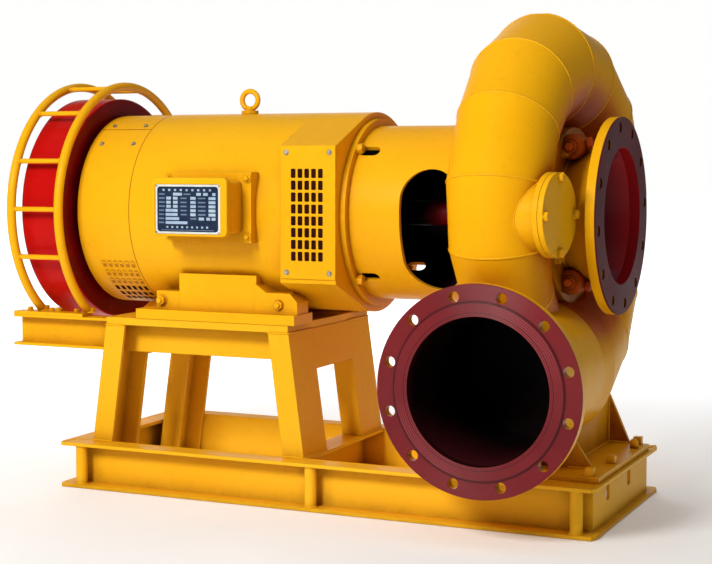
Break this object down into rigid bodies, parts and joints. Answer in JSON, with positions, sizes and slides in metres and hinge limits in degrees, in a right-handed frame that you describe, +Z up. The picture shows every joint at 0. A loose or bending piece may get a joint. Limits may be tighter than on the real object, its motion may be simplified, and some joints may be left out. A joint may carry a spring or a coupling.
{
  "type": "hydroelectric generator",
  "caption": "Horizontal hydroelectric set on a channel base: spiral-case turbine, lantern, generator, flywheel in a guard, flanged inlet and draft ends.",
  "frame": {"origin": "middle of the base frame's footprint, on the floor", "axes": "+X along the shaft from the flywheel to the draft flange, +Z up, the inlet flange faces -Y"},
  "size_m": [1.5505, 0.9433, 1.1358],
  "materials": {
    "yellow_paint": "semi-gloss golden yellow machine enamel, brushed and sprayed over welded and cast steel",
    "red_paint": "gloss signal red enamel on a turned flywheel",
    "dark_red_paint": "dark red primer paint",
    "maroon_primer": "dark maroon anti-rust paint over machined flange faces",
    "bare_steel": "turned steel shaft",
    "nameplate_blue": "etched aluminium plate with a dark blue field and blank cells"
  },
  "bodies": {
    "frame": {"base_cross_member": "yellow_paint", "base_end_beam_left": "yellow_paint", "base_end_beam_right": "yellow_paint", "base_rail_back": "yellow_paint", "base_rail_front": "yellow_paint", "base_rail_posts": "yellow_paint", "draft_cone": "yellow_paint", "draft_cover": "yellow_paint", "draft_flange": "maroon_primer", "generator_body": "yellow_paint", "generator_end_cover": "yellow_paint", "generator_end_housing": "yellow_paint", "generator_foot_back": "yellow_paint", "generator_foot_front": "yellow_paint", "guard_hoop_inner": "yellow_paint", "guard_hoop_outer": "yellow_paint", "guard_mount_plates": "yellow_paint", "guard_rods": "yellow_paint", "guard_support_frame": "yellow_paint", "handhole_cover": "yellow_paint", "handhole_stub": "yellow_paint", "head_cover": "yellow_paint", "inlet_flange": "maroon_primer", "inlet_pipe": "yellow_paint", "lantern": "yellow_paint", "lifting_eye": "yellow_paint", "nameplate": "nameplate_blue", "spiral_case_far": "yellow_paint", "spiral_case_lower": "yellow_paint", "spiral_case_near": "yellow_paint", "spiral_case_top": "yellow_paint", "stand_leg_back_left": "yellow_paint", "stand_leg_back_right": "yellow_paint", "stand_leg_front_left": "yellow_paint", "stand_leg_front_right": "yellow_paint", "stand_long_beams": "yellow_paint", "stand_side_beams": "yellow_paint", "stand_top_plate": "yellow_paint", "terminal_box": "yellow_paint", "terminal_box_base": "yellow_paint", "terminal_box_cover": "yellow_paint", "turbine_base_plate": "yellow_paint", "turbine_casing": "yellow_paint", "turbine_support_cross_plates": "yellow_paint", "turbine_support_ribs": "yellow_paint", "turbine_support_side_plates": "yellow_paint", "vent_plates": "yellow_paint"},
    "rotor": {"flywheel": "red_paint", "shaft": "bare_steel", "shaft_hub": "dark_red_paint", "runner": "dark_red_paint"}
  },
  "joints": [
    {"name": "rotor_spin", "type": "hinge", "parent": "frame", "child": "rotor", "pos_m": [0, 0, 0.677], "axis": [1, 0, 0], "continuous": true}
  ]
}
